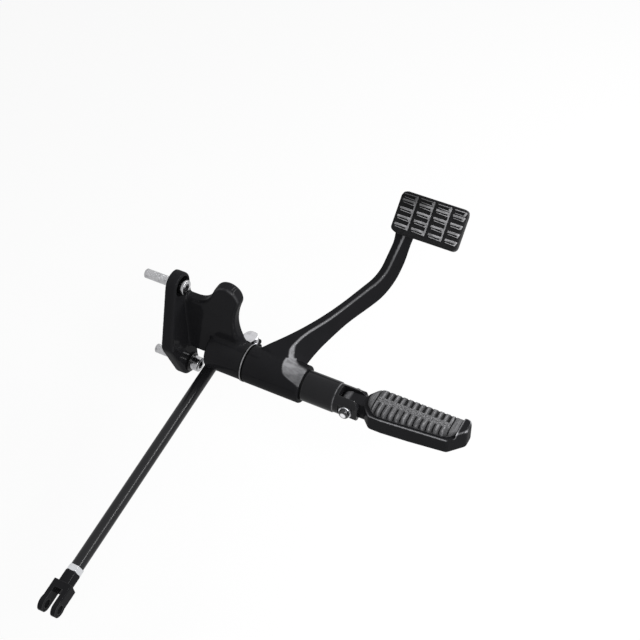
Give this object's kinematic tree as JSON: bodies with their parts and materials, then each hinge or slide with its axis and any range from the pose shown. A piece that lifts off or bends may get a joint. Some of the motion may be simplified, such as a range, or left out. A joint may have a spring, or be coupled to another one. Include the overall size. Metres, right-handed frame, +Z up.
{
  "type": "motorcycle forward brake control",
  "caption": "Right-hand forward control with a cast bracket, brake pedal on a fixed shaft, push rod and folding rubber-topped footpeg.",
  "frame": {"origin": "mounting face of the bracket, midway between the two frame bolts", "axes": "+X outboard along the pivot shaft and the footpeg, +Y forward, +Z up"},
  "size_m": [0.3176, 0.4459, 0.1813],
  "materials": {
    "black_casting": "gloss black paint over a casting",
    "black_forging": "gloss black",
    "rubber": "matte moulded rubber",
    "chrome": "bright chrome plate",
    "zinc": "zinc plate",
    "steel": "ground steel",
    "bronze": "plain bearing bronze"
  },
  "bodies": {
    "bracket_and_shaft": {"mounting_bracket": "black_casting", "upper_frame_bolt": "chrome", "lower_frame_bolt": "chrome", "upper_frame_washer": "zinc", "lower_frame_washer": "zinc", "pinch_bolt": "chrome", "pinch_bolt_washer": "chrome", "pivot_shaft": "steel", "thrust_washer": "zinc", "outer_washer": "zinc", "peg_support": "black_casting", "support_bolt": "zinc", "support_lock_washer": "zinc", "support_grub_screw": "zinc", "hinge_pin": "chrome", "hinge_pin_washer": "zinc", "hinge_pin_clip": "zinc"},
    "brake_pedal": {"brake_lever": "black_forging", "inner_hub_bush": "bronze", "outer_hub_bush": "bronze", "pedal_rubber": "rubber", "front_rod_end_ball": "zinc", "rod_bolt": "zinc", "rod_bolt_washer": "zinc", "rod_bolt_nut": "zinc"},
    "brake_rod": {"front_rod_end": "black_forging", "front_jam_nut": "zinc", "brake_rod": "black_forging", "rear_jam_nut": "zinc", "rear_clevis": "black_forging"},
    "footpeg": {"footpeg_body": "black_casting", "footpeg_rubber": "rubber", "footpeg_rubber_screws": "zinc", "hinge_spring_washer": "zinc"}
  },
  "joints": [
    {"name": "pedal_press", "type": "hinge", "parent": "bracket_and_shaft", "child": "brake_pedal", "pos_m": [0.105, 0, -0.02], "axis": [-1, 0, 0], "range_deg": [0, 15]},
    {"name": "rod_swing", "type": "hinge", "parent": "brake_pedal", "child": "brake_rod", "pos_m": [0.03, 0.032, -0.0481], "axis": [1, 0, 0], "range_deg": [0, 14]},
    {"name": "footpeg_fold", "type": "hinge", "parent": "bracket_and_shaft", "child": "footpeg", "pos_m": [0.18, 0, -0.02], "axis": [0, -1, 0], "range_deg": [0, 80]}
  ],
  "couplings": [
    {"joint": "rod_swing", "follows": "pedal_press", "ratio": 0.921}
  ]
}
